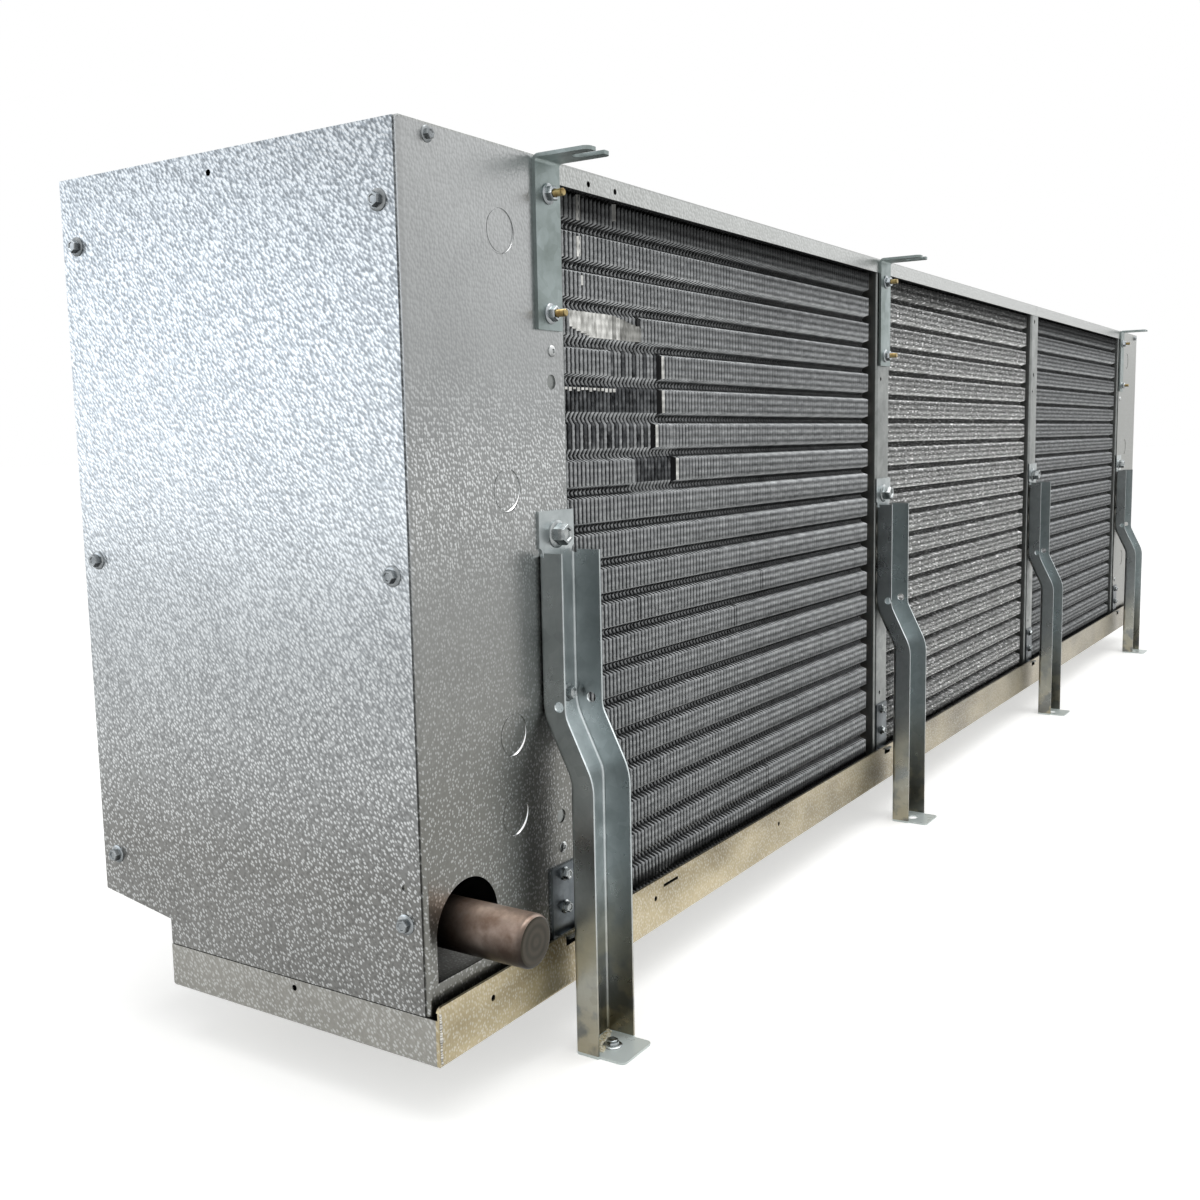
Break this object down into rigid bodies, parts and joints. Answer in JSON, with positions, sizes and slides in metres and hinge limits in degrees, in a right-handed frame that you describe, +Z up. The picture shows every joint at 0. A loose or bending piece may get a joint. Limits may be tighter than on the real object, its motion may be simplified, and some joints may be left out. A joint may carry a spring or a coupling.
{
  "type": "refrigeration unit cooler",
  "caption": "Long ceiling evaporator for a cold room: finned coil in embossed sheet, fans behind, drain pan below, fork hangers on top, standing on jogged channel legs.",
  "frame": {"origin": "on the floor, below the middle of the unit", "axes": "+X along the unit, away from the end with the pipe opening; +Y towards the fan side; +Z up"},
  "size_m": [2.6296, 0.52, 0.734],
  "materials": {
    "stucco_sheet": "stucco embossed, satin",
    "galvanised_steel": "galvanised, satin",
    "zinc_steel": "bright zinc plated",
    "bracket_steel": "dull zinc plated",
    "fin_aluminium": "rippled sheet edges",
    "copper": "aged copper",
    "spout_brass": "threaded brass",
    "blade_aluminium": "pressed sheet",
    "motor_paint": "semi-gloss dark enamel",
    "guard_wire": "coated wire"
  },
  "bodies": {
    "root": {"left_end_cover": "stucco_sheet", "right_end_cover": "stucco_sheet", "left_back_panel": "stucco_sheet", "right_back_panel": "stucco_sheet", "left_front_panel": "stucco_sheet", "right_front_panel": "stucco_sheet", "top_cover": "stucco_sheet", "bottom_panel": "stucco_sheet", "drain_pan": "stucco_sheet", "pan_brackets": "bracket_steel", "suction_header": "copper", "drain_spout": "spout_brass", "tube_sheet_1": "galvanised_steel", "leg_1": "galvanised_steel", "front_leg_1": "galvanised_steel", "tube_sheet_2": "galvanised_steel", "leg_2": "galvanised_steel", "front_leg_2": "galvanised_steel", "tube_sheet_3": "galvanised_steel", "leg_3": "galvanised_steel", "front_leg_3": "galvanised_steel", "tube_sheet_4": "galvanised_steel", "leg_4": "galvanised_steel", "front_leg_4": "galvanised_steel", "hanger_1": "zinc_steel", "front_hanger_1": "zinc_steel", "hanger_2": "zinc_steel", "front_hanger_2": "zinc_steel", "hanger_4": "zinc_steel", "front_hanger_4": "zinc_steel", "fin_pack_1": "fin_aluminium", "fan_panel_1": "stucco_sheet", "fan_guard_1": "guard_wire", "fan_blade_1": "blade_aluminium", "fan_motor_1": "motor_paint", "fin_pack_2": "fin_aluminium", "fan_panel_2": "stucco_sheet", "fan_guard_2": "guard_wire", "fan_blade_2": "blade_aluminium", "fan_motor_2": "motor_paint", "fin_pack_3": "fin_aluminium", "fan_panel_3": "stucco_sheet", "fan_guard_3": "guard_wire", "fan_blade_3": "blade_aluminium", "fan_motor_3": "motor_paint"}
  },
  "joints": []
}
